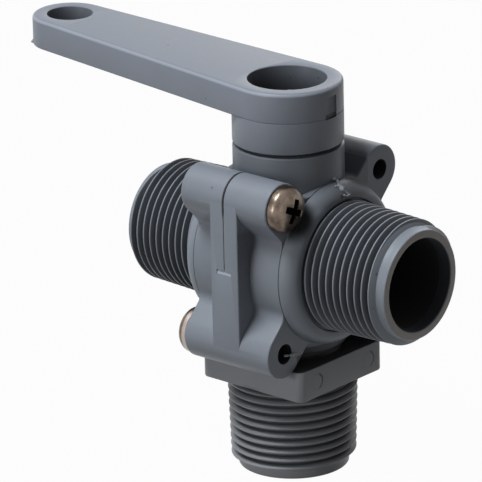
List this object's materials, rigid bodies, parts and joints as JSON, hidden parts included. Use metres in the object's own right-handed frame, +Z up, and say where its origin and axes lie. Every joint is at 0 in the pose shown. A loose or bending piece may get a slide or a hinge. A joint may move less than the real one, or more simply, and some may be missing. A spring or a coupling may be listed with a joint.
{
  "type": "three-way ball valve",
  "caption": "Plastic three-way ball valve with in-line threaded ports, a threaded branch port below and a lever that turns an L-bored ball.",
  "frame": {"origin": "centre of the branch port's end face, where the valve stands", "axes": "+Z up the branch port's axis to the lever, +X along the run to the right port, +Y to the back"},
  "size_m": [0.1083, 0.0416, 0.0841],
  "materials": {
    "body_plastic": "moulded glass-filled polypropylene, satin grey",
    "handle_plastic": "moulded polypropylene, satin grey",
    "stem_plastic": "moulded glass-filled polypropylene",
    "ball_resin": "smooth black resin",
    "seat_resin": "smooth fluoropolymer",
    "seal_rubber": "black elastomer",
    "screw_steel": "bright warm-toned plated steel"
  },
  "bodies": {
    "valve_body": {"body_half_right": "body_plastic", "body_half_left": "body_plastic", "body_seal_front": "seal_rubber", "body_seal_back": "seal_rubber", "branch_port": "body_plastic", "branch_oring": "seal_rubber", "seat_right": "seat_resin", "seat_left": "seat_resin", "seat_oring_right": "seal_rubber", "seat_oring_left": "seal_rubber", "screw_front_upper": "screw_steel", "screw_front_lower": "screw_steel", "screw_back_upper": "screw_steel", "screw_back_lower": "screw_steel", "thrust_washer": "seat_resin"},
    "lever_and_ball": {"handle": "handle_plastic", "stem": "stem_plastic", "ball": "ball_resin", "stem_oring_upper": "seal_rubber", "stem_oring_lower": "seal_rubber", "handle_washer": "screw_steel", "handle_screw": "screw_steel"}
  },
  "joints": [
    {"name": "lever_turn", "type": "hinge", "parent": "valve_body", "child": "lever_and_ball", "pos_m": [0, 0, 0.0465], "axis": [0, 0, 1], "range_deg": [-175.1, 4.9]}
  ]
}
